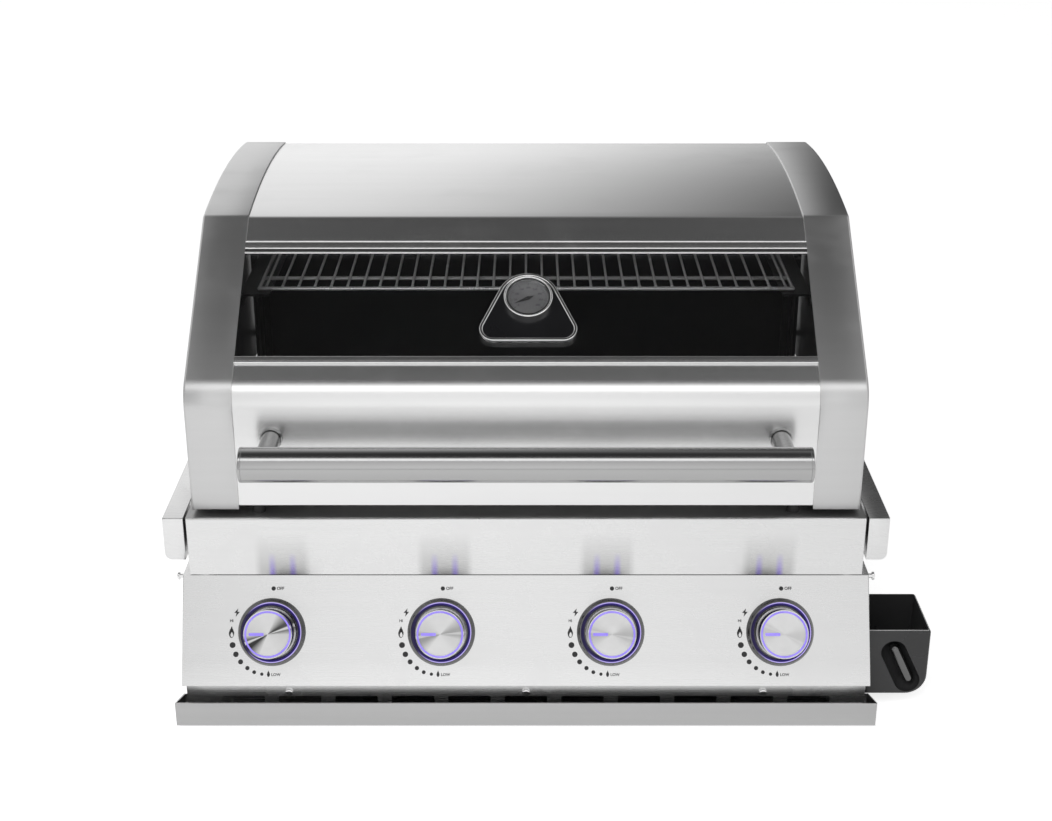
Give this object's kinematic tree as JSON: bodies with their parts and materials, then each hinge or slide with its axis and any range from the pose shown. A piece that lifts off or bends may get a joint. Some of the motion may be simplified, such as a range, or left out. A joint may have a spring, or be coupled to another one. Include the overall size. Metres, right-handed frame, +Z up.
{
  "type": "built in gas grill",
  "caption": "Built in gas grill with a windowed hood on a rear hinge, push and turn knobs with lit rings, a pull-out drip tray, counter flanges and an open cap catcher.",
  "frame": {"origin": "centre of the chassis underside, the base plate of the firebox", "axes": "+X to the right as the cook sees it, +Y to the back, +Z up"},
  "size_m": [0.8705, 0.6195, 0.5493],
  "materials": {
    "hood_steel": "satin brushed",
    "cap_steel": "satin brushed",
    "panel_steel": "satin brushed",
    "tray_steel": "satin brushed",
    "trim_steel": "fine brushed",
    "handle_steel": "fine satin tube",
    "chrome": "bright chrome",
    "knob_metal": "spun chrome",
    "window_black": "black tempered glass",
    "lens_clear": "clear glass",
    "plate_black": "black gloss with a bare border",
    "dial_grey": "satin grey dial",
    "needle_dark": "satin black",
    "light_violet": "clear violet diffuser",
    "inner_steel": "plain mill sheet",
    "liner_steel": "heat tinted sheet",
    "grate_steel": "seasoned stainless rod",
    "rack_chrome": "plated wire",
    "gas_brass": "turned brass",
    "stem_steel": "turned steel",
    "pipe_steel": "plated steel pipe",
    "electrode_white": "unglazed ceramic",
    "bumper_rubber": "matt black",
    "catcher_black": "gloss black",
    "claw_black": "gloss black enamel",
    "supply_plastic": "matt black moulding"
  },
  "bodies": {
    "chassis": {"firebox_shell": "inner_steel", "firebox_liner": "liner_steel", "rear_panel": "inner_steel", "hinge_brackets": "inner_steel", "hinge_pins": "chrome", "front_fascia": "panel_steel", "side_flange_left": "panel_steel", "side_flange_right": "panel_steel", "hood_bumpers": "bumper_rubber", "control_panel": "panel_steel", "vent_plate": "panel_steel", "panel_screws": "chrome", "cap_catcher": "catcher_black", "opener_claw": "claw_black", "knob_bezels": "chrome", "light_rings": "light_violet", "light_supply": "supply_plastic", "gas_manifold": "pipe_steel", "gas_valves": "gas_brass", "gas_inlet": "pipe_steel", "burners": "liner_steel", "igniter_electrodes": "electrode_white", "flame_tamers": "liner_steel", "cooking_grate_left": "grate_steel", "cooking_grate_centre": "grate_steel", "cooking_grate_right": "grate_steel", "warming_rack": "rack_chrome", "rack_supports": "inner_steel", "tray_runners": "inner_steel"},
    "hood": {"hood_skin": "hood_steel", "hood_side_left": "cap_steel", "hood_side_right": "cap_steel", "hood_inner_panel": "inner_steel", "window_glass": "window_black", "window_trim_top": "trim_steel", "window_trim_bottom": "trim_steel", "handle_bar": "handle_steel", "handle_end_caps": "handle_steel", "handle_posts": "chrome", "thermometer_plate": "plate_black", "thermometer_bezel": "chrome", "thermometer_dial": "dial_grey", "thermometer_lens": "lens_clear", "thermometer_stem": "inner_steel"},
    "thermometer_pointer": {"thermometer_needle": "needle_dark"},
    "drip_tray": {"drip_tray_front": "tray_steel", "drip_tray_pan": "inner_steel"},
    "plug_1": {"valve_plug_1": "gas_brass"},
    "knob_1": {"knob_1": "knob_metal", "valve_stem_1": "stem_steel"},
    "plug_2": {"valve_plug_2": "gas_brass"},
    "knob_2": {"knob_2": "knob_metal", "valve_stem_2": "stem_steel"},
    "plug_3": {"valve_plug_3": "gas_brass"},
    "knob_3": {"knob_3": "knob_metal", "valve_stem_3": "stem_steel"},
    "plug_4": {"valve_plug_4": "gas_brass"},
    "knob_4": {"knob_4": "knob_metal", "valve_stem_4": "stem_steel"}
  },
  "joints": [
    {"name": "hood_hinge", "type": "hinge", "parent": "chassis", "child": "hood", "pos_m": [0, 0.2175, 0.277], "axis": [-1, 0, 0], "range_deg": [0, 85]},
    {"name": "pointer_turn", "type": "hinge", "parent": "hood", "child": "thermometer_pointer", "pos_m": [0.0025, -0.17617, 0.46159], "axis": [0, 0.606, -0.7955], "range_deg": [0, 250]},
    {"name": "tray_slide", "type": "slide", "parent": "chassis", "child": "drip_tray", "axis": [0, -1, 0], "range_m": [0, 0.42]},
    {"name": "knob_turn_1", "type": "hinge", "parent": "chassis", "child": "plug_1", "pos_m": [-0.2868, -0.31292, 0.11364], "axis": [0, -0.9021, 0.4316], "range_deg": [-90, 90]},
    {"name": "knob_push_1", "type": "slide", "parent": "plug_1", "child": "knob_1", "axis": [0, 0.9021, -0.4316], "range_m": [0, 0.004], "stiffness_N_per_m": 1500, "springref_m": -0.002},
    {"name": "knob_turn_2", "type": "hinge", "parent": "chassis", "child": "plug_2", "pos_m": [-0.0956, -0.31292, 0.11364], "axis": [0, -0.9021, 0.4316], "range_deg": [-90, 90]},
    {"name": "knob_push_2", "type": "slide", "parent": "plug_2", "child": "knob_2", "axis": [0, 0.9021, -0.4316], "range_m": [0, 0.004], "stiffness_N_per_m": 1500, "springref_m": -0.002},
    {"name": "knob_turn_3", "type": "hinge", "parent": "chassis", "child": "plug_3", "pos_m": [0.0956, -0.31292, 0.11364], "axis": [0, -0.9021, 0.4316], "range_deg": [-90, 90]},
    {"name": "knob_push_3", "type": "slide", "parent": "plug_3", "child": "knob_3", "axis": [0, 0.9021, -0.4316], "range_m": [0, 0.004], "stiffness_N_per_m": 1500, "springref_m": -0.002},
    {"name": "knob_turn_4", "type": "hinge", "parent": "chassis", "child": "plug_4", "pos_m": [0.2868, -0.31292, 0.11364], "axis": [0, -0.9021, 0.4316], "range_deg": [-90, 90]},
    {"name": "knob_push_4", "type": "slide", "parent": "plug_4", "child": "knob_4", "axis": [0, 0.9021, -0.4316], "range_m": [0, 0.004], "stiffness_N_per_m": 1500, "springref_m": -0.002}
  ]
}
